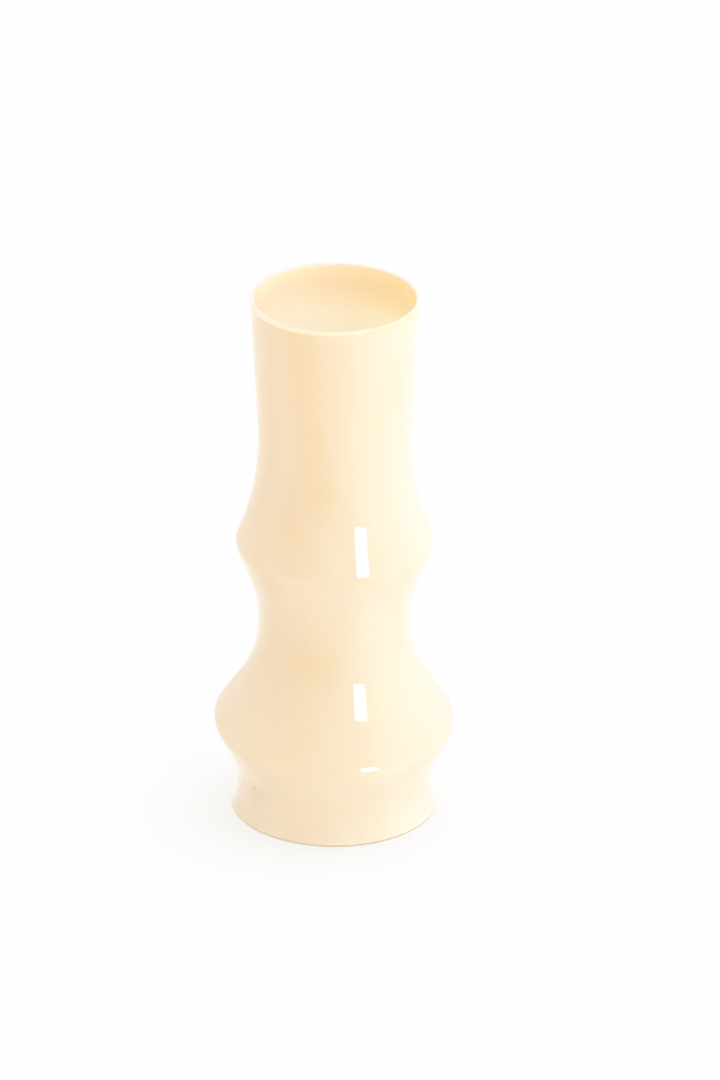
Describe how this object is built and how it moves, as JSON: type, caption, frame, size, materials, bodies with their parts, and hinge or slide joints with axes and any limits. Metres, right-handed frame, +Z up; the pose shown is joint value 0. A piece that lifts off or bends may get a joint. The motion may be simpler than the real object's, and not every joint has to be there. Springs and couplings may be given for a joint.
{
  "type": "glass vase",
  "caption": "Tall cased glass vase with a bamboo-like outline of soft rings and waists, a clear outer layer over a cream opal lining, and an open mouth for cut stems.",
  "frame": {"origin": "on the vase's axis, at the level of the standing ring", "axes": "+Z up along the axis, towards the mouth; the vase is round, so X and Y are free"},
  "size_m": [0.1084, 0.1084, 0.25],
  "materials": {
    "clear_glass": "clear, fire polished, with a ground standing ring",
    "cream_opal_glass": "cream to apricot opal, nearly opaque, glossy"
  },
  "bodies": {
    "root": {"clear_casing": "clear_glass", "opal_lining": "cream_opal_glass"}
  },
  "joints": []
}
